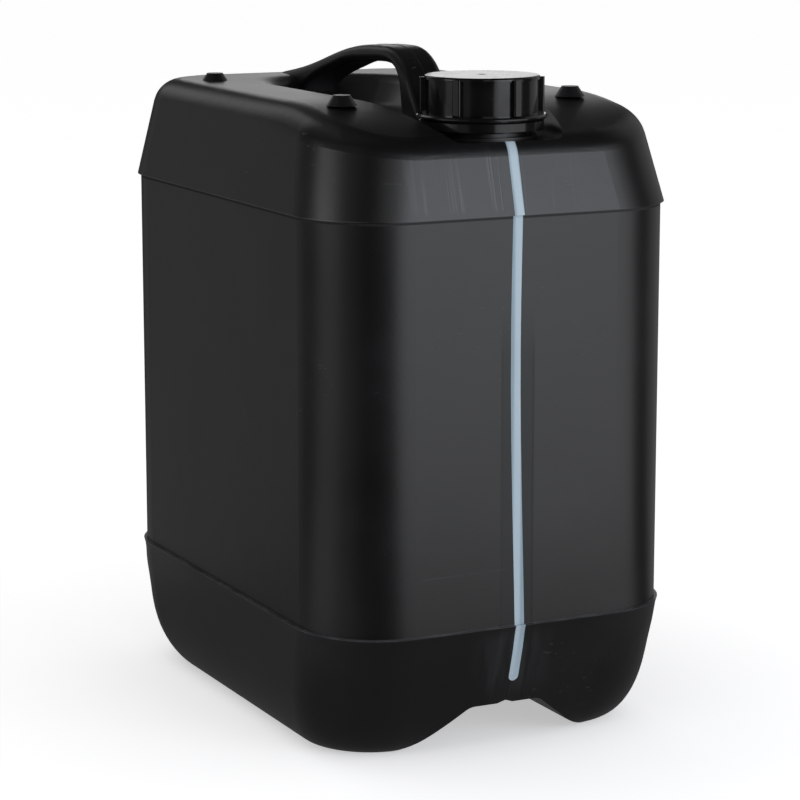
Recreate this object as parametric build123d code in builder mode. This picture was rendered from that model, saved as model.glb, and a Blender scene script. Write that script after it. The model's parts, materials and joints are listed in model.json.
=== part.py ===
"""A stacking plastic canister of about 25 litres, with its screw cap, seal and tamper ring.

The frame has +Z up and its origin on the ground under the middle of the body. The neck is at
the front, towards -Y, and the hand hole of the moulded handle runs along X.
"""

import os
from math import cos, radians, sin, tan

from build123d import *

os.makedirs("parts", exist_ok=True)

# Body, plan view of the middle
body_width = 231.8
body_length = 334.0
corner_radius = 50.7
wall = 2.4

# Body, heights of the three bands; the base and the shoulder stand out by the step
base_height = 78.5
middle_height = 240.8
shoulder_height = 60.5
band_step = 2.1

# Base band: leaning sides that roll under into two lengthwise feet
base_side_lean = 3.6
base_front_lean = 16.0
base_rear_lean = 12.5
base_side_roll = 19.5
base_front_roll = 19.0
base_rear_roll = 50.0
base_roll_height = 42.5
base_roll_fullness = 2.35
base_corner_shrink = 0.7
base_lean_steps = 3
base_roll_steps = 8

# Channel between the feet, which clears the handle and the cap of a canister below
channel_height = 28.0
channel_roof_width = 46.0
channel_mouth_width = 118.0
channel_fillet = 9.0
foot_fillet = 44.0
weld_groove_width = 10.0
weld_groove_depth = 1.8

# Shoulder band: leaning sides, a rounded edge and ridges that bend down to the front
shoulder_side_lean = 10.5
shoulder_front_lean = 15.5
shoulder_fillet = 18.0
crest_bend_run = 111.0
crest_bend_drop = 23.5

# Hand well between the two ridges
well_depth = 19.8
well_floor_width = 68.0
well_top_width = 104.0
well_floor_fillet = 10.0
well_crest_fillet = 16.0
bridge_length = 54.0

# Handle, moulded in one piece with the body
handle_width = 26.0
handle_rise = 26.3
handle_thickness = 10.3
handle_post_thickness = 13.0
handle_post_gap = 71.5
handle_rear_gap = 20.0
handle_crest_run = 34.5
handle_nose_drop = 18.0
handle_hole_radius = 13.0
handle_fillet = 4.4
# The arm's top and underside: share of its length, and of the rise, below crest and grip
handle_back = [(0.81, 0.80), (0.68, 0.59), (0.56, 0.36), (0.44, 0.157), (0.34, 0.047)]
handle_under = [(0.24, 0.02), (0.375, 0.115), (0.47, 0.294), (0.565, 0.49), (0.69, 0.89)]
handle_under_end = 0.84

# Stacking nubs on the ridges
nub_edge_distance = 42.6
nub_front_distance = 78.0
nub_rear_distance = 71.0
nub_base_radius = 9.0
nub_top_radius = 5.0
nub_height = 4.6
nub_sink = 1.5

# Neck
neck_front_distance = 48.1
neck_radius = 28.0
neck_bore_radius = 25.2
neck_height = 30.4
collar_radius = 31.6
collar_height = 1.6
bead_radius = 30.0
bead_height = 1.4
lug_count = 10
lug_first_angle = -1.0
lug_radius = 33.6
lug_length = 6.5
lug_height = 4.2

# Tamper ring, lying on the lugs under the cap
ring_radius = 36.2
ring_bore_radius = 29.0
ring_height = 6.2
ring_edge = 0.8
ring_clearance = 0.3

# Screw cap
flange_radius = 38.0
flange_thickness = 2.6
flange_edge = 0.9
skirt_radius = 32.6
crown_radius = 33.6
crown_height = 2.4
crown_fillet = 1.4
cap_height = 24.8
fin_count = 6
fin_first_angle = -22.3
fin_radius = 36.2
fin_width = 5.0
fin_root = 1.5
fin_nose_radius = 2.6
fin_edge_radius = 1.0
cap_bore_radius = 29.8
cap_mouth_radius = 31.2
cap_mouth_depth = 3.4
gate_radius = 2.4
gate_depth = 0.8

# Seal inside the cap
seal_radius = 28.9
seal_thickness = 2.0
seal_clearance = 0.15

# Sight stripe: an unpigmented strip extruded into the front wall
stripe_width = 6.3
stripe_bottom = 42.4
stripe_neck_gap = 27.0
stripe_drift = [-0.2, -1.3, -1.2, 0.9, 2.6]

# Places worked out from the sizes above
shoulder_bottom = base_height + middle_height
ridge_top = shoulder_bottom + shoulder_height
well_floor = ridge_top - well_depth
half_width = body_width / 2 + band_step
front = -body_length / 2 - band_step
rear = -front
neck_y = front + neck_front_distance
ring_bottom = well_floor + lug_height + ring_clearance
cap_bottom = ring_bottom + ring_height + ring_clearance
neck_top = well_floor + neck_height
reach = body_length + body_width


def corners_at(section, half_width_there):
    """The two corners of a sketched section that lie at plus and minus a half width."""
    return section.vertices().filter_by(lambda v: abs(abs(v.X) - half_width_there) < 0.01)


def channel_section(inset):
    """Section of the channel between the feet, grown by the inset."""
    mouth = channel_mouth_width / 2
    outer = mouth + foot_fillet
    roof = channel_roof_width / 2
    groove = weld_groove_width / 2
    with BuildSketch(Plane.XZ) as section:
        with BuildLine():
            Polyline(
                (-outer, -wall),
                (-outer, 0),
                (-mouth, 0),
                (-roof, channel_height),
                (-groove, channel_height),
                (0, channel_height + weld_groove_depth),
                (groove, channel_height),
                (roof, channel_height),
                (mouth, 0),
                (outer, 0),
                (outer, -wall),
                close=True,
            )
        make_face()
        fillet(corners_at(section, mouth), foot_fillet)
        fillet(corners_at(section, roof), channel_fillet)
        if inset > 0:
            offset(amount=inset)
    return section.sketch


def base_face(lean, roll, inset):
    """Points (height, run) down one side of the base band; the run counts inwards from the lip."""
    points = []
    steps = base_lean_steps + base_roll_steps
    for step in range(steps + 1):
        if step <= base_lean_steps:
            height = base_height - (base_height - base_roll_height) * step / base_lean_steps
        else:
            turn = radians(90 * (step - base_lean_steps) / base_roll_steps)
            height = base_roll_height * (1 - sin(turn))
        share = max(0, 1 - height / base_roll_height)
        bulge = (1 - share**base_roll_fullness) ** (1 / base_roll_fullness)
        run = (base_height - height) * tan(radians(lean)) + roll * (1 - bulge)
        points.append((height + inset * step / steps, run + inset))
    return points


def base_band(inset):
    """The base band as a solid, drawn inside the outer face by the inset."""
    side = base_face(base_side_lean, base_side_roll, inset)
    front_face = base_face(base_front_lean, base_front_roll, inset)
    rear_face = base_face(base_rear_lean, base_rear_roll, inset)
    channel = channel_section(inset)
    with BuildPart() as band:
        for (height, run), (_, front_run), (_, rear_run) in zip(side, front_face, rear_face):
            with BuildSketch(Plane.XY.offset(height)):
                with Locations((0, (front_run - rear_run) / 2)):
                    RectangleRounded(
                        2 * (half_width - run),
                        2 * rear - front_run - rear_run,
                        corner_radius + band_step - base_corner_shrink * run,
                    )
        loft()
        extrude(channel, amount=reach, both=True, mode=Mode.SUBTRACT)
    return band.part


def shoulder_side(inset):
    """Side view of the shoulder band: level at the rear, bending down to the front."""
    top = ridge_top - inset
    bend_start = front + crest_bend_run
    bend_radius = (crest_bend_run**2 + crest_bend_drop**2) / (2 * crest_bend_drop)
    with BuildSketch(Plane.YZ) as side:
        with BuildLine():
            bottom = Line((front - band_step, shoulder_bottom), (reach, shoulder_bottom))
            back = Line(bottom @ 1, (reach, top))
            crest = Line(back @ 1, (bend_start, top))
            bend = TangentArc(crest @ 1, (front, top - crest_bend_drop), tangent=(-1, 0))
            slope = Line(bend @ 1, bend @ 1 + (bend % 1) * band_step)
            Line(slope @ 1, bottom @ 0)
        make_face()
    return side.sketch


def well_section(inset):
    """Half of the hand well's section, for the end that turns about the vertical."""
    floor = well_floor_width / 2
    top = well_top_width / 2
    outer = top + well_crest_fillet
    with BuildSketch(Plane.XZ) as section:
        with BuildLine():
            Polyline(
                (-outer, ridge_top + well_crest_fillet),
                (-outer, ridge_top),
                (-top, ridge_top),
                (-floor, well_floor),
                (floor, well_floor),
                (top, ridge_top),
                (outer, ridge_top),
                (outer, ridge_top + well_crest_fillet),
                close=True,
            )
        make_face()
        fillet(corners_at(section, top), well_crest_fillet)
        fillet(corners_at(section, floor), well_floor_fillet)
        if inset > 0:
            offset(amount=inset)
    return section.sketch


def hand_well(inset):
    """The hand well as a solid to cut: open at the front, with a round end at the rear."""
    section = well_section(inset)
    end = rear - bridge_length - well_top_width / 2
    with BuildSketch(Plane.XZ.offset(-end)) as half:
        add(section)
        with Locations((-reach / 2, ridge_top)):
            Rectangle(reach, reach, mode=Mode.SUBTRACT)
    with BuildPart() as well:
        with BuildSketch(Plane.XZ.offset(-end)):
            add(section)
        extrude(amount=reach)
        revolve(half.sketch, axis=Axis((0, end, 0), (0, 0, 1)), revolution_arc=180)
    return well.part


def shoulder_band(inset):
    """The shoulder band with its two ridges and the hand well between them."""
    side = shoulder_side(inset)
    well = hand_well(inset)
    rise = shoulder_height + band_step
    side_run = rise * tan(radians(shoulder_side_lean))
    front_run = rise * tan(radians(shoulder_front_lean))
    side_inset = inset / cos(radians(shoulder_side_lean))
    front_inset = inset / cos(radians(shoulder_front_lean))
    radius = corner_radius + band_step - inset
    with BuildPart() as band:
        for share in (0, 1):
            run = side_inset + side_run * share
            nose_run = front_inset + front_run * share
            with BuildSketch(Plane.XY.offset(shoulder_bottom + rise * share)):
                with Locations((0, (nose_run - run) / 2)):
                    RectangleRounded(2 * (half_width - run), 2 * rear - nose_run - run, radius)
        loft(ruled=True)
        extrude(side, amount=reach, both=True, mode=Mode.INTERSECT)
        rim = band.edges().filter_by(lambda e: e.bounding_box().min.Z > shoulder_bottom + 1)
        rim = rim.filter_by(lambda e: abs(e.center().Y - front - crest_bend_run) > 1)
        fillet(rim, shoulder_fillet - inset)
        add(well, mode=Mode.SUBTRACT)
    return band.part


def closed_form(inset):
    """The whole blown form as a solid, drawn inside the outer face by the inset."""
    base = base_band(inset)
    shoulder = shoulder_band(inset)
    with BuildPart() as form:
        with BuildSketch(Plane.XY.offset(base_height)):
            RectangleRounded(
                body_width - 2 * inset, body_length - 2 * inset, corner_radius - inset
            )
        extrude(amount=middle_height)
        add(base)
        add(shoulder)
    return form.part


def handle_side():
    """Side view of the handle: front post, crest and the long arm back to the bridge."""
    crest = ridge_top + handle_rise
    grip = crest - handle_thickness
    post = neck_y + handle_post_gap
    arm = rear - handle_rear_gap - post
    inner = post + handle_post_thickness
    sunk = well_floor - 3 * wall
    back_points = [(post + s * arm, crest - d * handle_rise) for s, d in handle_back]
    under_points = [(inner + s * arm, grip - d * handle_rise) for s, d in handle_under]
    with BuildSketch(Plane.YZ) as side:
        with BuildLine():
            rear_drop = Line((post + arm, well_floor - wall), (post + arm, ridge_top - wall / 2))
            back = Spline(
                rear_drop @ 1,
                *back_points,
                (post + handle_crest_run, crest),
                tangents=[(-1, 0.2), (-1, 0)],
            )
            shoulder = TangentArc(back @ 1, (post, crest - handle_nose_drop), tangent=(-1, 0))
            front_foot = shoulder @ 1 + (shoulder % 1) * handle_rise * 1.3
            front_line = Line(shoulder @ 1, front_foot)
            Line(front_line @ 1, rear_drop @ 0)
        make_face()
        with BuildLine():
            inside = Line((inner - 2.5 * wall, sunk), (inner - 0.5, grip - handle_hole_radius))
            corner = TangentArc(inside @ 1, (inner + handle_hole_radius, grip), tangent=inside % 1)
            under = Spline(
                corner @ 1,
                *under_points,
                (inner + handle_under_end * arm, sunk),
                tangents=[corner % 1, (1, -0.6)],
            )
            Line(under @ 1, inside @ 0)
        make_face(mode=Mode.SUBTRACT)
    return side.sketch


def stripe_ribbon():
    """Front view of the sight stripe, which drifts a little on its way down."""
    top = well_floor
    bottom = stripe_bottom + stripe_width / 2
    fall = (top - bottom) / (len(stripe_drift) - 1)
    centre = [(drift, top - fall * i) for i, drift in enumerate(stripe_drift)]
    side = stripe_width / 2
    with BuildSketch(Plane.XZ.offset(-neck_y + stripe_neck_gap)) as ribbon:
        with BuildLine():
            right = Spline([(x + side, z) for x, z in centre], tangents=[(0, -1), (0, -1)])
            left = Spline([(x - side, z) for x, z in centre], tangents=[(0, -1), (0, -1)])
            RadiusArc(right @ 1, left @ 1, side)
            Line(right @ 0, left @ 0)
        make_face()
    return ribbon.sketch


outer_form = closed_form(0)
inner_form = closed_form(wall)
handle_outline = handle_side()
ribbon_outline = stripe_ribbon()

with BuildPart() as handle:
    extrude(handle_outline, amount=handle_width / 2, both=True)
    lengthwise = handle.edges().filter_by(Axis.X, reverse=True).filter_by(Axis.Z, reverse=True)
    lengthwise = lengthwise.filter_by(lambda e: e.center().Z > well_floor + 1)
    fillet(lengthwise, handle_fillet)

with BuildPart() as ribbon:
    extrude(ribbon_outline, amount=neck_front_distance)

with BuildPart() as lugs:
    with PolarLocations(0, lug_count, start_angle=lug_first_angle):
        with BuildSketch():
            with BuildLine():
                foot = Line((neck_radius - 1, 0), (lug_radius, 0))
                ramp = Line(foot @ 1, (collar_radius - 1, lug_length))
                back = Line(ramp @ 1, (neck_radius - 1, lug_length))
                Line(back @ 1, foot @ 0)
            make_face()
    extrude(amount=lug_height)

with BuildPart() as shell:
    add(outer_form)
    add(handle.part)
    with Locations(
        (half_width - nub_edge_distance, front + nub_front_distance, ridge_top - nub_sink),
        (-half_width + nub_edge_distance, front + nub_front_distance, ridge_top - nub_sink),
        (half_width - nub_edge_distance, rear - nub_rear_distance, ridge_top - nub_sink),
        (-half_width + nub_edge_distance, rear - nub_rear_distance, ridge_top - nub_sink),
    ):
        Cone(
            nub_base_radius,
            nub_top_radius,
            nub_height + nub_sink,
            align=(Align.CENTER, Align.CENTER, Align.MIN),
        )
    with BuildSketch(Plane.XY.offset(well_floor - wall)):
        with Locations((0, neck_y)):
            Circle(neck_radius)
    extrude(amount=neck_height + wall)
    with BuildSketch(Plane.XY.offset(well_floor - wall)):
        with Locations((0, neck_y)):
            Circle(collar_radius)
    extrude(amount=collar_height + wall)
    with BuildSketch(Plane.XY.offset(ring_bottom + ring_height)):
        with Locations((0, neck_y)):
            Circle(bead_radius)
    extrude(amount=bead_height)
    with Locations((0, neck_y, well_floor)):
        add(lugs.part)
    add(inner_form, mode=Mode.SUBTRACT)
    with BuildSketch(Plane.XY.offset(neck_top)):
        with Locations((0, neck_y)):
            Circle(neck_bore_radius)
    extrude(amount=-neck_height - 2 * wall, mode=Mode.SUBTRACT)

with BuildPart() as canister_body:
    add(shell.part)
    add(ribbon.part, mode=Mode.SUBTRACT)

with BuildPart() as sight_stripe:
    add(shell.part)
    add(ribbon.part, mode=Mode.INTERSECT)

with BuildPart() as tamper_ring:
    with BuildSketch(Plane.XY.offset(ring_bottom)):
        with Locations((0, neck_y)):
            Circle(ring_radius)
            Circle(ring_bore_radius, mode=Mode.SUBTRACT)
    extrude(amount=ring_height)
    chamfer(tamper_ring.edges().filter_by(GeomType.CIRCLE).sort_by(SortBy.RADIUS)[-2:], ring_edge)

with BuildPart() as cap_seal:
    with BuildSketch(Plane.XY.offset(neck_top + seal_clearance)):
        with Locations((0, neck_y)):
            Circle(seal_radius)
    extrude(amount=seal_thickness)

with BuildPart() as fin:
    with BuildSketch(Plane.XZ) as fin_side:
        with Locations((skirt_radius - fin_root, flange_thickness / 2)):
            Rectangle(
                fin_radius - skirt_radius + fin_root,
                cap_height - crown_height / 2 - flange_thickness / 2,
                align=(Align.MIN, Align.MIN),
            )
        top_corner = fin_side.vertices().sort_by(Axis.X)[-2:].sort_by(Axis.Z)[-1]
        fillet(top_corner, fin_nose_radius)
    extrude(amount=fin_width / 2, both=True)
    outer_edges = fin.edges().filter_by(Axis.Z).group_by(Axis.X)[-1]
    fillet(outer_edges, fin_edge_radius)

with BuildPart() as screw_cap:
    with BuildSketch(Plane.XY.offset(cap_bottom)):
        with Locations((0, neck_y)):
            Circle(flange_radius)
    extrude(amount=flange_thickness)
    chamfer(screw_cap.edges().filter_by(GeomType.CIRCLE), flange_edge)
    with BuildSketch(Plane.XY.offset(cap_bottom)):
        with Locations((0, neck_y)):
            Circle(skirt_radius)
    extrude(amount=cap_height)
    with BuildSketch(Plane.XY.offset(cap_bottom + cap_height - crown_height)):
        with Locations((0, neck_y)):
            Circle(crown_radius)
    extrude(amount=crown_height)
    rim = screw_cap.faces().sort_by(Axis.Z)[-1].edges()
    fillet(rim, crown_fillet)
    with Locations((0, neck_y, cap_bottom)):
        with PolarLocations(0, fin_count, fin_first_angle):
            add(fin.part)
    with BuildSketch(Plane.XY.offset(cap_bottom)):
        with Locations((0, neck_y)):
            Circle(cap_bore_radius)
    bore_height = neck_top + 2 * seal_clearance + seal_thickness - cap_bottom
    extrude(amount=bore_height, mode=Mode.SUBTRACT)
    with BuildSketch(Plane.XY.offset(cap_bottom)):
        with Locations((0, neck_y)):
            Circle(cap_mouth_radius)
    extrude(amount=cap_mouth_depth, mode=Mode.SUBTRACT)
    with BuildSketch(Plane.XY.offset(cap_bottom + cap_height)):
        with Locations((0, neck_y)):
            Circle(gate_radius)
    extrude(amount=-gate_depth, mode=Mode.SUBTRACT)

canister_body.part.label = "canister_body"
sight_stripe.part.label = "sight_stripe"
tamper_ring.part.label = "tamper_ring"
cap_seal.part.label = "cap_seal"
screw_cap.part.label = "screw_cap"

export_step(canister_body.part, "parts/canister_body.step")
export_step(sight_stripe.part, "parts/sight_stripe.step")
export_step(tamper_ring.part, "parts/tamper_ring.step")
export_step(cap_seal.part, "parts/cap_seal.step")
export_step(screw_cap.part, "parts/screw_cap.step")
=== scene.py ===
"""Looks of a stacking plastic canister with its finned screw cap.

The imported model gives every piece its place. This file dresses those pieces, makes the thread of
the neck and of the cap and the parting seam of the mould, and sets up a plain studio.
"""

import json
import logging
import math
from dataclasses import dataclass, field
from enum import Enum
from typing import Any, Dict, List, Optional, Sequence, Tuple, Union

import bmesh
import bpy
from mathutils import Matrix, Vector
from mathutils.bvhtree import BVHTree

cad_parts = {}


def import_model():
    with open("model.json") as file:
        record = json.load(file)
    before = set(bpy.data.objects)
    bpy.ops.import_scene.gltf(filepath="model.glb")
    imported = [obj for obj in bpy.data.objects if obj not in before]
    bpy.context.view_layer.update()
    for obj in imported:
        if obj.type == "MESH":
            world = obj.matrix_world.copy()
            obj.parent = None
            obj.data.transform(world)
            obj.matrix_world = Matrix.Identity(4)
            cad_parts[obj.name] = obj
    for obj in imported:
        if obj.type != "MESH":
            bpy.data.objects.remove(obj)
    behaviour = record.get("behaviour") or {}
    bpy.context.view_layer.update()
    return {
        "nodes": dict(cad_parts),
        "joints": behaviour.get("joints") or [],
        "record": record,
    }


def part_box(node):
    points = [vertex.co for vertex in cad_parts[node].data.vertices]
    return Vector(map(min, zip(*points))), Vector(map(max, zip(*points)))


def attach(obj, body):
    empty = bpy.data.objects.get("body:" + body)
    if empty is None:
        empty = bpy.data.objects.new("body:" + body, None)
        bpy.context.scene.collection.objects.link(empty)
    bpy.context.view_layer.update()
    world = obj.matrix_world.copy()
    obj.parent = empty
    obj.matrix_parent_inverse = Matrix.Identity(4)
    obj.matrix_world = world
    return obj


LOG = logging.getLogger("canister")

Colour = Tuple[float, float, float]
Number = Union[int, float, "Wire"]
MM = 0.001
CREASE_DEGREES = 32.0
THREAD_RISE = 7.8 * MM
DISC_RADIUS = 0.33
WALL_RADIUS = 1.7
CARD_RADIUS = 1.6
DOME_DEGREES = 56.0
WALL_STEP_DEGREES = 6.0
SCREEN_LIFT = 1.0 * MM


class Node(Enum):
    """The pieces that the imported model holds."""

    BODY = "canister_body"
    STRIPE = "sight_stripe"
    RING = "tamper_ring"
    SEAL = "cap_seal"
    CAP = "screw_cap"


class Body(Enum):
    """The bodies that move against each other."""

    CANISTER = "canister"
    SEAL = "seal"
    CAP = "cap"


class Slot(Enum):
    """The material slots of the record."""

    BODY = "body"
    STRIPE = "stripe"
    CAP = "cap"
    SEAL = "seal"


class Wire:
    """A shader value that Python operators combine into Math nodes."""

    def __init__(self, shader: "Shader", socket: bpy.types.NodeSocket) -> None:
        """Keep the socket and the shader that it belongs to."""
        self.shader = shader
        self.socket = socket

    def _combine(self, operation: str, *values: Number) -> "Wire":
        """Add one Math node.

        Args:
            operation: the Math node's operation.
            values: its inputs in order, wires or plain numbers.

        Returns:
            The result as a wire.
        """
        node = self.shader.node("ShaderNodeMath", {"operation": operation}, dict(enumerate(values)))
        return Wire(self.shader, node.outputs[0])

    def __add__(self, other: Number) -> "Wire":
        """Sum."""
        return self._combine("ADD", self, other)

    def __radd__(self, other: Number) -> "Wire":
        """Sum, reflected."""
        return self._combine("ADD", other, self)

    def __sub__(self, other: Number) -> "Wire":
        """Difference."""
        return self._combine("SUBTRACT", self, other)

    def __rsub__(self, other: Number) -> "Wire":
        """Difference, reflected."""
        return self._combine("SUBTRACT", other, self)

    def __mul__(self, other: Number) -> "Wire":
        """Product."""
        return self._combine("MULTIPLY", self, other)

    def __abs__(self) -> "Wire":
        """Absolute value."""
        return self._combine("ABSOLUTE", self)

    def rise(self, low: float, high: float) -> "Wire":
        """A smooth mask: 0 below low and 1 above high.

        Args:
            low: where the mask starts to rise.
            high: where it is full.

        Returns:
            The mask as a wire.
        """
        node = self.shader.node(
            "ShaderNodeMapRange",
            {"interpolation_type": "SMOOTHSTEP"},
            {"Value": self, "From Min": low, "From Max": high},
        )
        return Wire(self.shader, node.outputs["Result"])

    def fall(self, low: float, high: float) -> "Wire":
        """A smooth mask: 1 below low and 0 above high.

        Args:
            low: where the mask starts to fall.
            high: where it is empty.

        Returns:
            The mask as a wire.
        """
        return 1.0 - self.rise(low, high)


class Shader:
    """One material's node tree, with the few calls that the finishes need."""

    def __init__(self, name: str) -> None:
        """Make an empty material with a Principled shader on its output."""
        self.material = bpy.data.materials.new(name)
        self.material.use_nodes = True
        self.tree = self.material.node_tree
        self.tree.nodes.clear()
        self.output = self.tree.nodes.new("ShaderNodeOutputMaterial")
        self.surface = self.tree.nodes.new("ShaderNodeBsdfPrincipled")
        self.tree.links.new(self.surface.outputs[0], self.output.inputs[0])
        self.place = self.node("ShaderNodeTexCoord", {}, {}).outputs["Object"]

    def node(
        self, kind: str, settings: Dict[str, Any], inputs: Dict[Union[int, str], Any]
    ) -> bpy.types.Node:
        """Add one node.

        Args:
            kind: the node's type.
            settings: attributes that are set first.
            inputs: values, wires or sockets for its input sockets.

        Returns:
            The node.
        """
        made = self.tree.nodes.new(kind)
        for key, value in settings.items():
            setattr(made, key, value)
        for key, value in inputs.items():
            self.feed(made.inputs[key], value)
        return made

    def feed(self, socket: bpy.types.NodeSocket, value: Any) -> None:
        """Set one input socket from a wire, a socket or a plain value."""
        if isinstance(value, Wire):
            self.tree.links.new(value.socket, socket)
        elif isinstance(value, bpy.types.NodeSocket):
            self.tree.links.new(value, socket)
        else:
            socket.default_value = value

    def axis(self, letter: str) -> Wire:
        """One object coordinate, in metres."""
        node = self.node("ShaderNodeSeparateXYZ", {}, {0: self.place})
        return Wire(self, node.outputs["XYZ".index(letter)])

    def stretched(self, scale: Sequence[float]) -> bpy.types.NodeSocket:
        """Object coordinates, scaled by its own factor along each axis."""
        node = self.node("ShaderNodeMapping", {}, {"Vector": self.place, "Scale": tuple(scale)})
        return node.outputs[0]

    def noise(
        self, per_metre: float, detail: float = 2.0, stretch: Sequence[float] = (1, 1, 1)
    ) -> Wire:
        """Noise between 0 and 1.

        Args:
            per_metre: how many cells to a metre.
            detail: how many finer octaves are added.
            stretch: extra factor along each axis.

        Returns:
            The noise as a wire.
        """
        node = self.node(
            "ShaderNodeTexNoise",
            {},
            {"Vector": self.stretched(stretch), "Scale": per_metre, "Detail": detail},
        )
        return Wire(self, node.outputs[0])

    def mix(self, factor: Wire, first: Colour, second: Union[Colour, bpy.types.NodeSocket]) -> Any:
        """Blend two colours by a mask.

        Args:
            factor: the mask, 0 for the first colour and 1 for the second.
            first: the first colour.
            second: the second colour, or a socket that gives it.

        Returns:
            The colour socket.
        """
        node = self.node("ShaderNodeMix", {"data_type": "RGBA"}, {})
        self.feed(node.inputs[0], factor)
        for socket, value in ((node.inputs[6], first), (node.inputs[7], second)):
            self.feed(socket, (*value, 1.0) if isinstance(value, tuple) else value)
        return node.outputs[2]

    def bump(self, layers: Sequence[Tuple[Wire, float]]) -> None:
        """Feed the normal from heights that are stacked.

        Args:
            layers: pairs of a height between 0 and 1 and its depth in metres.
        """
        normal: Optional[bpy.types.NodeSocket] = None
        for height, depth in layers:
            node = self.node("ShaderNodeBump", {}, {"Height": height, "Distance": depth})
            if normal is not None:
                self.feed(node.inputs["Normal"], normal)
            normal = node.outputs[0]
        self.feed(self.surface.inputs["Normal"], normal)

    def constants(self, **values: Any) -> None:
        """Set the Principled shader's own sockets; underscores stand for spaces."""
        for key, value in values.items():
            self.surface.inputs[key.replace("_", " ")].default_value = value


@dataclass(frozen=True)
class SatinShell:
    """Black blow-moulded polyethylene: satin, finely grained, with flow lines, light scuffs and a
    painted highlight along the band edges.
    """

    black: Colour = (0.0045, 0.0045, 0.0048)
    # Pale colour for the scuffs and flow lines, and also for the painted highlight along the band
    # edges.
    chalk_and_highlight: Colour = (0.060, 0.062, 0.067)
    roughness: float = 0.345
    roughness_swing: float = 0.07
    grain_per_metre: float = 1100.0
    grain_depth: float = 0.035 * MM
    drift_per_metre: float = 7.0
    drift_depth: float = 1.6 * MM
    ripple_per_metre: float = 45.0
    ripple_depth: float = 0.10 * MM
    cloud_per_metre: float = 11.0
    front_reach: Tuple[float, float] = (-0.150, -0.130)
    flow_low: float = 0.321
    flow_fade: float = 0.004
    flow_high: Tuple[float, float] = (0.350, 0.362)
    flow_middle: float = -0.018
    flow_side: float = 0.065
    flow_depth: float = 0.05 * MM
    sink_half: float = 11.5 * MM
    sink_edge: float = 2.5 * MM
    sink_height: float = 0.27
    sink_fade: float = 0.04
    sink_depth: float = 0.35 * MM
    lip_heights: Tuple[float, float] = (0.3193, 0.0785)
    lip_half: float = 0.55 * MM
    lip_highlight_sides: Tuple[float, float] = (0.085, 0.110)
    pinch_half: Tuple[float, float] = (0.6 * MM, 1.3 * MM)
    pinch_top: float = 43.0 * MM
    swirl_half: Tuple[float, float] = (6 * MM, 34 * MM)
    swirl_low: Tuple[float, float] = (0.030, 0.045)
    swirl_high: Tuple[float, float] = (0.068, 0.080)
    scratch_lines: Tuple[Tuple[float, float, float, float], ...] = (
        (-62.6 * MM, -5.4 * MM, 112.2 * MM, 0.012),
        (28.7 * MM, 41.9 * MM, 336.7 * MM, -0.05),
        (-84.0 * MM, -70.5 * MM, 340.4 * MM, -0.04),
        (30.0 * MM, 37.0 * MM, 334.6 * MM, 0.03),
    )

    def build(self) -> bpy.types.Material:
        """Make the material."""
        shader = Shader("satin_shell")
        x, y, z = (shader.axis(letter) for letter in "XYZ")
        front = y.fall(*self.front_reach)
        cloud = shader.noise(self.cloud_per_metre, 3.0)
        drift = shader.noise(self.drift_per_metre, 1.0, (1, 1, 0.5))
        ripple = shader.noise(self.ripple_per_metre, 2.0)
        grain = shader.noise(self.grain_per_metre, 1.0)
        flow = self.flow_lines(shader, x, z) * front
        sink = self.sink(front, x, z)
        wear = self.scuffs(shader) + self.scratches(shader, x, z) * front
        lip_highlight = self.painted_lip_highlights(shader, x, z)
        pinch = self.pinch(front, x, z)
        swirl = self.swirl(shader, front, x, z)
        under = self.undercut(z)
        # The lip term is a painted highlight along the band edges; the other terms are the
        # plastic's own marks and tone.
        pale = flow * 0.24 + wear * 0.65 + lip_highlight * 0.9 + swirl * 0.2 + cloud.rise(0.45, 0.80) * 0.10
        shader.feed(shader.surface.inputs["Base Color"], shader.mix(pale, self.black, self.chalk_and_highlight))
        rough = self.roughness + (cloud - 0.5) * self.roughness_swing + sink * 0.14
        rough = rough - flow * 0.06 + wear * 0.10 + under * 0.35 + pinch * 0.5
        shader.feed(shader.surface.inputs["Roughness"], rough)
        shader.constants(IOR=1.54)
        shader.bump(
            [
                (drift, self.drift_depth),
                (ripple, self.ripple_depth),
                (grain, self.grain_depth),
                (flow, self.flow_depth),
                (1.0 - sink, self.sink_depth),
            ]
        )
        return shader.material

    def sink(self, front: Wire, x: Wire, z: Wire) -> Wire:
        """The shallow sunk band that runs along both sides of the sight stripe.

        Args:
            front: the mask of the front face.
            x: the object's X coordinate.
            z: the object's Z coordinate.

        Returns:
            A mask between 0 and 1.
        """
        band = front * abs(x).fall(self.sink_half - self.sink_edge, self.sink_half)
        return band * z.fall(self.sink_height - self.sink_fade, self.sink_height)

    def pinch(self, front: Wire, x: Wire, z: Wire) -> Wire:
        """The dull line under the stripe, where the mould pinched the tube shut.

        Args:
            front: the mask of the front face.
            x: the object's X coordinate.
            z: the object's Z coordinate.

        Returns:
            A mask between 0 and 1.
        """
        line = front * abs(x).fall(*self.pinch_half)
        return line * z.fall(self.pinch_top, self.pinch_top + MM)

    def swirl(self, shader: Shader, front: Wire, x: Wire, z: Wire) -> Wire:
        """Pale streaks round the stripe's lower end.

        Args:
            shader: the material's tree.
            front: the mask of the front face.
            x: the object's X coordinate.
            z: the object's Z coordinate.

        Returns:
            A mask between 0 and 1.
        """
        patch = front * abs(x).fall(*self.swirl_half)
        patch = patch * z.fall(*self.swirl_high) * z.rise(*self.swirl_low)
        return patch * shader.noise(120.0, 2.0, (1, 0.1, 0.15)).rise(0.35, 0.60)

    def undercut(self, z: Wire) -> Wire:
        """The dull strip just below the shoulder band's edge."""
        middle = self.lip_heights[0] - self.lip_half * 2.5
        return abs(z - middle).fall(0.3 * MM, 1.0 * MM)

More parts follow.
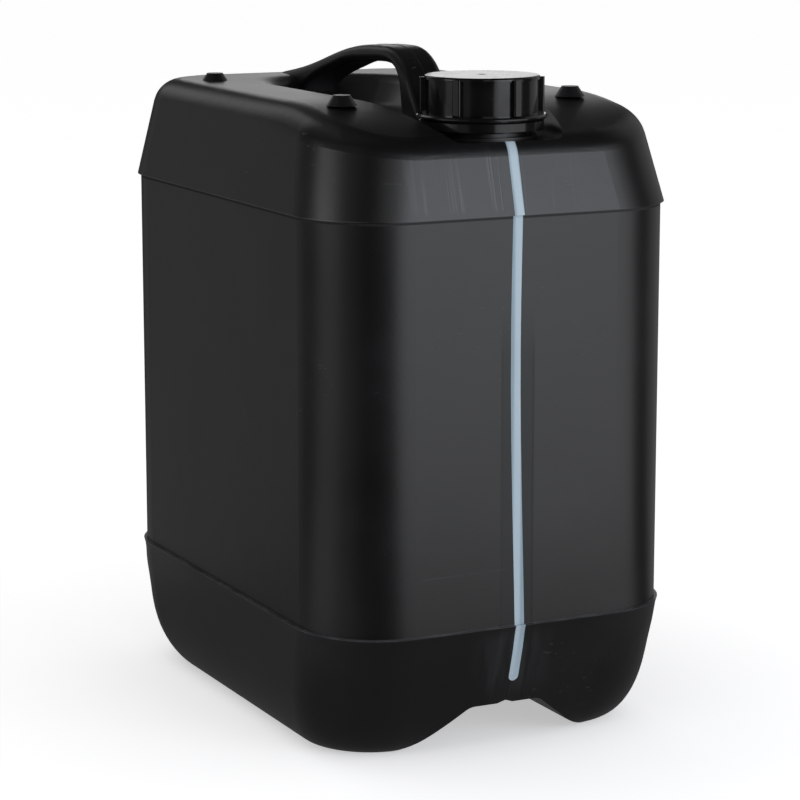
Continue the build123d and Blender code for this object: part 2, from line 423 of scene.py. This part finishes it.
    def flow_lines(self, shader: Shader, x: Wire, z: Wire) -> Wire:
        """Upright drag lines on the front of the shoulder, densest near the sight stripe.

        Args:
            shader: the material's tree.
            x: the object's X coordinate.
            z: the object's Z coordinate.

        Returns:
            A mask between 0 and 1.
        """
        fine = shader.noise(420.0, 1.0, (1, 0.02, 0.02)).rise(0.50, 0.64)
        broad = shader.noise(110.0, 1.0, (1, 0.05, 0.10)).rise(0.46, 0.60)
        height = z.rise(self.flow_low, self.flow_low + self.flow_fade) * z.fall(*self.flow_high)
        side = abs(x - self.flow_middle).fall(self.flow_side * 0.35, self.flow_side)
        return fine * broad * height * side

    def painted_lip_highlights(self, shader: Shader, x: Wire, z: Wire) -> Wire:
        """A painted highlight along the edges of the shoulder band and the base band, strongest on
        the sides.

        Args:
            shader: the material's tree.
            x: the object's X coordinate.
            z: the object's Z coordinate.

        Returns:
            A mask between 0 and 1.
        """
        # Painted highlight: pale lines at the band-edge heights, made stronger on the side faces
        # and broken up by noise.
        upper, lower = (
            abs(z - height).fall(self.lip_half * 0.5, self.lip_half) for height in self.lip_heights
        )
        highlight_breakup = 0.55 + shader.noise(60.0, 3.0).rise(0.40, 0.60) * 0.45
        return (upper * (0.15 + abs(x).rise(*self.lip_highlight_sides) * 0.6) + lower) * highlight_breakup

    def scratches(self, shader: Shader, x: Wire, z: Wire) -> Wire:
        """Long fine scratches on the front, each with a length, a height and a slope.

        Args:
            shader: the material's tree.
            x: the object's X coordinate.
            z: the object's Z coordinate.

        Returns:
            A mask between 0 and 1.
        """
        broken = shader.noise(130.0, 2.0, (1, 1, 0.2)).rise(0.36, 0.50)
        total: Number = 0.0
        for start, end, height, slope in self.scratch_lines:
            across = abs(z - x * slope - (height - start * slope)).fall(0.15 * MM, 0.45 * MM)
            along = x.rise(start, start + 3 * MM) * x.fall(end - 3 * MM, end)
            total = across * along + total
        return total * broken * 0.35

    def scuffs(self, shader: Shader) -> Wire:
        """Short rubbed marks and fine specks, strongest in scattered patches."""
        patch = shader.noise(16.0, 2.0).rise(0.56, 0.66)
        dash = shader.noise(150.0, 3.0, (1.0, 1.0, 4.5)).rise(0.66, 0.72)
        speck = shader.noise(420.0, 1.0).rise(0.73, 0.78)
        return patch * dash * 0.8 + speck * patch * 0.3


@dataclass(frozen=True)
class MilkyStripe:
    """Unpigmented polyethylene: pale, cool and slightly translucent, painted paler towards its
    lower end to make up for the shade there.
    """

    pale: Colour = (0.47, 0.57, 0.65)
    cool: Colour = (0.25, 0.34, 0.41)
    roughness: float = 0.42

    def build(self) -> bpy.types.Material:
        """Make the material."""
        shader = Shader("milky_stripe")
        edge = abs(shader.axis("X")).rise(1.2 * MM, 3.6 * MM)
        cloud = shader.noise(45.0, 3.0, (1, 1, 0.3))
        # Painted highlight: the cool tint fades out towards the bottom, so the stripe's lower end,
        # which faces down into shade, is painted paler.
        tint_with_painted_lift = (edge * 0.7 + cloud * 0.3).rise(0.0, 1.0) * shader.axis("Z").rise(0.02, 0.11)
        shader.feed(shader.surface.inputs["Base Color"], shader.mix(tint_with_painted_lift, self.pale, self.cool))
        shader.feed(shader.surface.inputs["Roughness"], self.roughness + (cloud - 0.5) * 0.1)
        shader.constants(Subsurface_Weight=0.2, Subsurface_Scale=0.003, IOR=1.5)
        shader.bump([(shader.noise(900.0, 1.0), 0.03 * MM)])
        return shader.material


@dataclass(frozen=True)
class GlossMoulding:
    """Black injection-moulded plastic of the cap and ring: glossy, with faint haze."""

    black: Colour = (0.003, 0.003, 0.0032)
    haze: Colour = (0.008, 0.008, 0.0085)
    roughness: float = 0.15

    def build(self) -> bpy.types.Material:
        """Make the material."""
        shader = Shader("gloss_moulding")
        cloud = shader.noise(70.0, 4.0)
        scratch = shader.noise(90.0, 4.0, (1.0, 1.0, 9.0)).rise(0.60, 0.78)
        shader.feed(shader.surface.inputs["Base Color"], shader.mix(cloud, self.black, self.haze))
        rough = self.roughness + (cloud - 0.5) * 0.10 + scratch * 0.12
        shader.feed(shader.surface.inputs["Roughness"], rough)
        shader.constants(IOR=1.5)
        shader.bump([(shader.noise(35.0, 1.0), 0.12 * MM), (shader.noise(1600.0, 1.0), 0.008 * MM)])
        return shader.material


@dataclass(frozen=True)
class SealFoam:
    """White foamed polyethylene of the seal disc."""

    white: Colour = (0.78, 0.78, 0.75)
    shade: Colour = (0.60, 0.60, 0.57)

    def build(self) -> bpy.types.Material:
        """Make the material."""
        shader = Shader("seal_foam")
        cells = shader.noise(2200.0, 2.0)
        shader.feed(shader.surface.inputs["Base Color"], shader.mix(cells, self.white, self.shade))
        shader.feed(shader.surface.inputs["Roughness"], 0.55 + cells * 0.2)
        shader.bump([(cells, 0.05 * MM)])
        return shader.material


def dress(piece: bpy.types.Object, material: bpy.types.Material) -> None:
    """Give a piece one material in its only slot."""
    piece.data.materials.clear()
    piece.data.materials.append(material)


def object_from(bm: bmesh.types.BMesh, name: str) -> bpy.types.Object:
    """Turn a bmesh into a linked object at the origin.

    Args:
        bm: the mesh, freed here.
        name: the piece's name.

    Returns:
        The new object.
    """
    mesh = bpy.data.meshes.new(name)
    bm.to_mesh(mesh)
    bm.free()
    piece = bpy.data.objects.new(name, mesh)
    bpy.context.scene.collection.objects.link(piece)
    return piece


def smooth(piece: bpy.types.Object, degrees: float) -> None:
    """Shade a piece smooth, with creases where faces meet at more than the angle."""
    piece.data.shade_smooth()
    piece.data.set_sharp_from_angle(angle=math.radians(degrees))


@dataclass
class Screw:
    """A helical thread ridge about a vertical axis, outside a neck or inside a cap."""

    name: str
    axis_y: float
    root_radius: float
    crest_radius: float
    bottom: float
    turns: float
    pitch: float
    root_width: float = 2.6 * MM
    crest_width: float = 1.2 * MM
    first_angle: float = 0.0
    steps_per_turn: int = 72

    def build(self) -> bpy.types.Object:
        """Spin the ridge's section up the helix and close its ends."""
        bm = bmesh.new()
        half_root, half_crest = self.root_width / 2, self.crest_width / 2
        outline = (
            (self.root_radius, -half_root),
            (self.crest_radius, -half_crest),
            (self.crest_radius, half_crest),
            (self.root_radius, half_root),
        )
        turn = Matrix.Rotation(self.first_angle, 3, "Z")
        centre = Vector((0.0, self.axis_y, 0.0))
        points = [turn @ Vector((r, 0.0, h + self.bottom)) + centre for r, h in outline]
        face = bm.faces.new([bm.verts.new(p) for p in points])
        steps = round(self.turns * self.steps_per_turn)
        bmesh.ops.spin(
            bm,
            geom=[face, *face.edges, *face.verts],
            cent=centre,
            axis=(0, 0, 1),
            dvec=(0, 0, self.pitch / self.steps_per_turn),
            angle=2 * math.pi * self.turns,
            steps=steps,
            use_duplicate=False,
        )
        bmesh.ops.remove_doubles(bm, verts=bm.verts, dist=1e-7)
        bmesh.ops.recalc_face_normals(bm, faces=bm.faces)
        return object_from(bm, self.name)


@dataclass
class ThreadFit:
    """The screw thread that the neck and the cap share, worked out from the frame."""

    axis_y: float
    bottom: float
    pitch: float
    neck_radius: float = 28.0 * MM
    cap_bore_radius: float = 29.8 * MM
    root_sink: float = 0.3 * MM
    depth: float = 1.2 * MM
    neck_turns: float = 1.6
    cap_turns: float = 1.4

    def neck_ridge(self) -> Screw:
        """The ridge on the outside of the neck."""
        return Screw(
            "neck_thread",
            self.axis_y,
            self.neck_radius - self.root_sink,
            self.neck_radius + self.depth,
            self.bottom,
            self.neck_turns,
            self.pitch,
        )

    def cap_ridge(self) -> Screw:
        """The ridge inside the cap, half a pitch below the neck's."""
        return Screw(
            "cap_thread",
            self.axis_y,
            self.cap_bore_radius + self.root_sink,
            self.cap_bore_radius - self.depth,
            self.bottom - self.pitch / 2,
            self.cap_turns,
            self.pitch,
        )


def outward(vert: bmesh.types.BMVert) -> Vector:
    """The way that the skin faces at a point of the cut, kept in the plane X = 0."""
    return Vector((0.0, vert.normal.y, vert.normal.z)).normalized()


@dataclass
class PartingSeam:
    """The fine bead where the two mould halves meet, in the plane X = 0."""

    skin: bpy.types.Object
    stripe_low: float
    ring_rear: float
    half_width: float = 0.45 * MM
    height: float = 0.22 * MM
    sink: float = 0.15 * MM
    reach: float = 0.5
    ray_gap: float = 0.1 * MM
    weld: float = 1e-6

    def build(self) -> bpy.types.Object:
        """Cut the skin in the plane and set a bead on each outer edge of the cut."""
        cut = bmesh.new()
        cut.from_mesh(self.skin.data)
        cut.transform(self.skin.matrix_world)
        bmesh.ops.remove_doubles(cut, verts=cut.verts, dist=self.weld)
        tree = BVHTree.FromBMesh(cut)
        found = bmesh.ops.bisect_plane(
            cut,
            geom=[*cut.verts, *cut.edges, *cut.faces],
            dist=self.weld,
            plane_co=(0, 0, 0),
            plane_no=(1, 0, 0),
        )["geom_cut"]
        cut.normal_update()
        bead = bmesh.new()
        rows: Dict[int, List[bmesh.types.BMVert]] = {}
        for edge in (item for item in found if isinstance(item, bmesh.types.BMEdge)):
            if not all(self.outside(vert, tree) for vert in edge.verts):
                continue
            ends = []
            for vert in edge.verts:
                if vert.index not in rows:
                    rows[vert.index] = self.row(bead, vert)
                ends.append(rows[vert.index])
            for first, second in ((0, 1), (1, 2), (2, 0)):
                corner = (ends[0][first], ends[0][second], ends[1][second], ends[1][first])
                bead.faces.new(corner)
        bmesh.ops.holes_fill(bead, edges=bead.edges, sides=3)
        bmesh.ops.recalc_face_normals(bead, faces=bead.faces)
        cut.free()
        return object_from(bead, "parting_seam")

    def row(self, bead: bmesh.types.BMesh, vert: bmesh.types.BMVert) -> List[bmesh.types.BMVert]:
        """The bead's three-cornered section at one point of the cut."""
        out = outward(vert)
        foot = vert.co - out * self.sink
        side = Vector((self.half_width, 0.0, 0.0))
        section = (foot - side, vert.co + out * self.height, foot + side)
        return [bead.verts.new(point) for point in section]

    def outside(self, vert: bmesh.types.BMVert, tree: BVHTree) -> bool:
        """Say whether a point of the cut lies on the open outer skin, clear of stripe and cap.

        Args:
            vert: the point of the cut.
            tree: the skin, for a ray from the point straight out.

        Returns:
            True where the bead is wanted.
        """
        place = vert.co
        if place.y < self.ring_rear and place.z > self.stripe_low:
            return False
        out = outward(vert)
        start = place + out * self.ray_gap + Vector((self.ray_gap, 0, 0))
        hit, _, _, _ = tree.ray_cast(start, out, self.reach)
        return hit is None


@dataclass
class Shell:
    """The blown body: its satin skin, sight stripe, neck thread and the mould's parting seam."""

    nodes: Dict[str, bpy.types.Object]
    finish: SatinShell = field(default_factory=SatinShell)
    stripe: MilkyStripe = field(default_factory=MilkyStripe)
    ring_clearance: float = 2 * MM

    def build(self, thread: ThreadFit) -> List[bpy.types.Object]:
        """Make and dress the pieces that stay with the canister.

        Args:
            thread: the sizes that the neck and the cap share.

        Returns:
            The new pieces.
        """
        satin = self.finish.build()
        dress(self.nodes[Node.BODY.value], satin)
        dress(self.nodes[Node.STRIPE.value], self.stripe.build())
        stripe_low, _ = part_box(Node.STRIPE.value)
        _, ring_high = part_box(Node.RING.value)
        seam_end = ring_high.y + self.ring_clearance
        seam = PartingSeam(self.nodes[Node.BODY.value], stripe_low.z, seam_end)
        pieces = [thread.neck_ridge().build(), seam.build()]
        for piece in pieces:
            dress(piece, satin)
            smooth(piece, CREASE_DEGREES)
            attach(piece, Body.CANISTER.value)
        return pieces


@dataclass
class Closure:
    """The screw cap with its seal and thread, and the tamper ring on the neck."""

    nodes: Dict[str, bpy.types.Object]
    gloss: GlossMoulding = field(default_factory=GlossMoulding)
    foam: SealFoam = field(default_factory=SealFoam)

    def build(self, thread: ThreadFit) -> List[bpy.types.Object]:
        """Dress the cap, ring and seal, and make the cap's thread.

        Args:
            thread: the sizes that the neck and the cap share.

        Returns:
            The new pieces.
        """
        black = self.gloss.build()
        dress(self.nodes[Node.CAP.value], black)
        dress(self.nodes[Node.RING.value], black)
        dress(self.nodes[Node.SEAL.value], self.foam.build())
        ridge = thread.cap_ridge().build()
        dress(ridge, black)
        smooth(ridge, CREASE_DEGREES)
        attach(ridge, Body.CAP.value)
        return [ridge]


@dataclass(frozen=True)
class Softbox:
    """A rectangular soft lamp that looks at a point."""

    name: str
    place: Tuple[float, float, float]
    target: Tuple[float, float, float]
    width: float
    height: float
    watts: float
    colour: Colour = (1.0, 1.0, 1.0)

    def build(self) -> bpy.types.Object:
        """Make the lamp."""
        data = bpy.data.lights.new(self.name, "AREA")
        data.color = self.colour
        data.shape = "RECTANGLE"
        data.size, data.size_y = self.width, self.height
        data.energy = self.watts
        lamp = bpy.data.objects.new(self.name, data)
        lamp.location = self.place
        aim = Vector(self.target) - Vector(self.place)
        lamp.rotation_euler = aim.to_track_quat("-Z", "Y").to_euler()
        bpy.context.scene.collection.objects.link(lamp)
        return lamp


def wall(low: float, high: float, radius: float = WALL_RADIUS) -> Tuple[Tuple[float, float], ...]:
    """The section of a domed wall.

    Args:
        low: the elevation of its lower edge, in degrees.
        high: the elevation of its upper edge, in degrees.
        radius: how far it stands from the middle of the floor.

    Returns:
        Pairs of a radius and a height.
    """
    count = max(2, round((high - low) / WALL_STEP_DEGREES) + 1)
    angles = [math.radians(low + (high - low) * i / (count - 1)) for i in range(count)]
    return tuple(
        (radius * math.cos(a) + 0.1 * MM, radius * math.sin(a) + SCREEN_LIFT) for a in angles
    )


def mat(inner: float, outer: float = WALL_RADIUS) -> Tuple[Tuple[float, float], ...]:
    """The section of a mat on the floor between two radii."""
    return ((inner, SCREEN_LIFT), (outer, SCREEN_LIFT * 1.2))


@dataclass(frozen=True)
class Screen:
    """A curved cloth or card round part of the set, or a mat on its floor.

    It is seen in reflections only, as a studio hangs cloths and cards beside dark glossy goods.
    """

    start_degrees: float
    end_degrees: float
    section: Tuple[Tuple[float, float], ...]
    level: float = 0.0
    steps_per_turn: int = 90

    def build(self) -> bpy.types.Object:
        """Spin the section about the object."""
        bm = bmesh.new()
        start = math.radians(self.start_degrees)
        turn = math.radians(self.end_degrees - self.start_degrees)
        points = [Matrix.Rotation(start, 3, "Z") @ Vector((r, 0.0, h)) for r, h in self.section]
        verts = [bm.verts.new(point) for point in points]
        edges = [bm.edges.new(pair) for pair in zip(verts, verts[1:])]
        steps = max(2, round(self.steps_per_turn * turn / (2 * math.pi)))
        bmesh.ops.spin(
            bm, geom=[*verts, *edges], cent=(0, 0, 0), axis=(0, 0, 1), angle=turn, steps=steps
        )
        cloth = object_from(bm, f"screen_{round(self.start_degrees)}")
        shader = Shader("screen_cloth")
        shader.constants(
            Base_Color=(0, 0, 0, 1),
            Roughness=1.0,
            Specular_IOR_Level=0.0,
            Emission_Color=(1, 1, 1, 1),
            Emission_Strength=self.level,
        )
        dress(cloth, shader.material)
        for ray in ("camera", "diffuse", "shadow", "transmission", "volume_scatter"):
            setattr(cloth, "visible_" + ray, False)
        return cloth


@dataclass
class Studio:
    """Floor, world, lamps, dark screens and the camera at the photograph's viewing angle."""

    camera_place: Tuple[float, float, float] = (-0.77301, -1.57754, 0.51999)
    camera_pitch: float = 10.84
    camera_yaw: float = -26.31
    lens: float = 128.05
    world_strength: float = 0.75
    floor_grey: float = 0.86
    floor_glow: float = 0.47
    floor_size: float = 30.0

    def lamps(self) -> Tuple[Softbox, ...]:
        """The soft lamps."""
        middle = (0.0, 0.0, 0.2)
        return (
            Softbox("front_box", (0.72, -2.0, 0.80), middle, 1.3, 1.1, 12.0, (0.84, 0.91, 1.0)),
            Softbox("top_box", (-0.6, 0.9, 2.4), middle, 1.2, 1.2, 5.0),
        )

    def screens(self) -> Tuple[Screen, ...]:
        """The dark cloths and grey cards that the satin skin mirrors, sector by sector."""
        ground = mat(DISC_RADIUS)
        full = ground + wall(0.0, DOME_DEGREES)
        return (
            Screen(0.0, 360.0, mat(0.0, DISC_RADIUS), 0.13),
            Screen(325.0, 352.0, full, 0.03),
            Screen(352.0, 400.0, full, 0.28),
            Screen(40.0, 100.0, full, 0.05),
            Screen(50.0, 75.0, wall(17.0, 32.0, CARD_RADIUS), 1.25),
            Screen(100.0, 133.0, ground + wall(0.0, 26.0), 0.20),
            Screen(92.0, 112.0, wall(27.0, 50.0, CARD_RADIUS), 0.7),
            Screen(112.0, 168.0, wall(26.0, DOME_DEGREES), 0.04),
            Screen(133.0, 168.0, ground + wall(0.0, 26.0), 0.10),
            Screen(168.0, 200.0, ground + wall(0.0, 16.0), 0.45),
            Screen(168.0, 198.0, wall(16.0, 31.0, CARD_RADIUS), 2.8),
            Screen(168.0, 200.0, wall(16.0, DOME_DEGREES), 0.05),
            Screen(200.0, 222.0, full, 0.16),
            Screen(222.0, 267.0, ground + wall(0.0, 14.0), 0.0),
            Screen(222.0, 247.0, wall(14.0, DOME_DEGREES), 0.0),
            Screen(267.0, 325.0, mat(DISC_RADIUS, 0.62), 0.5),
            Screen(247.0, 325.0, wall(38.0, DOME_DEGREES), 0.0),
            Screen(0.0, 360.0, wall(DOME_DEGREES, 90.0), 0.0),
        )

    def build(self) -> None:
        """Set up everything that isn't the object."""
        scene = bpy.context.scene
        scene.view_settings.view_transform = "Standard"
        for lamp in self.lamps():
            lamp.build()
        for screen in self.screens():
            screen.build()
        self.world()
        self.floor()
        self.camera()

    def world(self) -> None:
        """An even white world, full white where the camera looks past the floor."""
        world = bpy.data.worlds.new("studio")
        bpy.context.scene.world = world
        world.use_nodes = True
        tree = world.node_tree
        tree.nodes.clear()
        output = tree.nodes.new("ShaderNodeOutputWorld")
        light = tree.nodes.new("ShaderNodeBackground")
        light.inputs["Strength"].default_value = self.world_strength
        shown = tree.nodes.new("ShaderNodeBackground")
        path = tree.nodes.new("ShaderNodeLightPath")
        blend = tree.nodes.new("ShaderNodeMixShader")
        seen = path.outputs["Is Camera Ray"]
        for name in ("Is Glossy Ray", "Is Transmission Ray"):
            either = tree.nodes.new("ShaderNodeMath")
            either.operation = "MAXIMUM"
            tree.links.new(seen, either.inputs[0])
            tree.links.new(path.outputs[name], either.inputs[1])
            seen = either.outputs[0]
        tree.links.new(seen, blend.inputs[0])
        tree.links.new(light.outputs[0], blend.inputs[1])
        tree.links.new(shown.outputs[0], blend.inputs[2])
        tree.links.new(blend.outputs[0], output.inputs[0])

    def floor(self) -> None:
        """A wide pale floor that keeps the object's shadow."""
        bm = bmesh.new()
        bmesh.ops.create_grid(bm, x_segments=1, y_segments=1, size=self.floor_size / 2)
        floor = object_from(bm, "floor")
        shader = Shader("pale_floor")
        grey = self.floor_grey
        shader.constants(Base_Color=(grey, grey, grey, 1), Roughness=0.9, Specular_IOR_Level=0.0)
        path = shader.node("ShaderNodeLightPath", {}, {})
        camera, glossy, transmission = (
            Wire(shader, path.outputs[f"Is {kind} Ray"])
            for kind in ("Camera", "Glossy", "Transmission")
        )
        seen = camera + glossy + transmission
        glow = shader.node("ShaderNodeEmission", {}, {"Strength": self.floor_glow})
        dark = shader.node("ShaderNodeEmission", {}, {"Strength": 0.0})
        shown = shader.node(
            "ShaderNodeMixShader", {}, {0: seen, 1: dark.outputs[0], 2: glow.outputs[0]}
        )
        both = shader.node(
            "ShaderNodeAddShader", {}, {0: shader.surface.outputs[0], 1: shown.outputs[0]}
        )
        shader.feed(shader.output.inputs[0], both.outputs[0])
        dress(floor, shader.material)

    def camera(self) -> None:
        """The camera at the photograph's viewing angle."""
        data = bpy.data.cameras.new("camera")
        data.lens = self.lens
        data.sensor_width = 36.0
        camera = bpy.data.objects.new("camera", data)
        camera.location = self.camera_place
        camera.rotation_euler = (
            math.radians(90.0 - self.camera_pitch),
            0.0,
            math.radians(self.camera_yaw),
        )
        bpy.context.scene.collection.objects.link(camera)
        bpy.context.scene.camera = camera


def main() -> None:
    """Build the studio and the canister, and report each piece."""
    logging.basicConfig(level=logging.INFO, format="%(name)s: %(message)s")
    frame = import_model()
    nodes = frame["nodes"]
    Studio().build()
    joints = {joint["name"]: joint for joint in frame["joints"]}
    coupling = frame["record"]["behaviour"]["couplings"][0]
    cap_low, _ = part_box(Node.CAP.value)
    thread = ThreadFit(
        axis_y=joints["cap_turn"]["pos_m"][1],
        bottom=cap_low.z + THREAD_RISE,
        pitch=coupling["ratio"] * 2 * math.pi,
    )
    for builder in (Shell(nodes), Closure(nodes)):
        for piece in builder.build(thread):
            LOG.info("%s: %d faces", piece.name, len(piece.data.polygons))


if __name__ == "__main__":
    main()
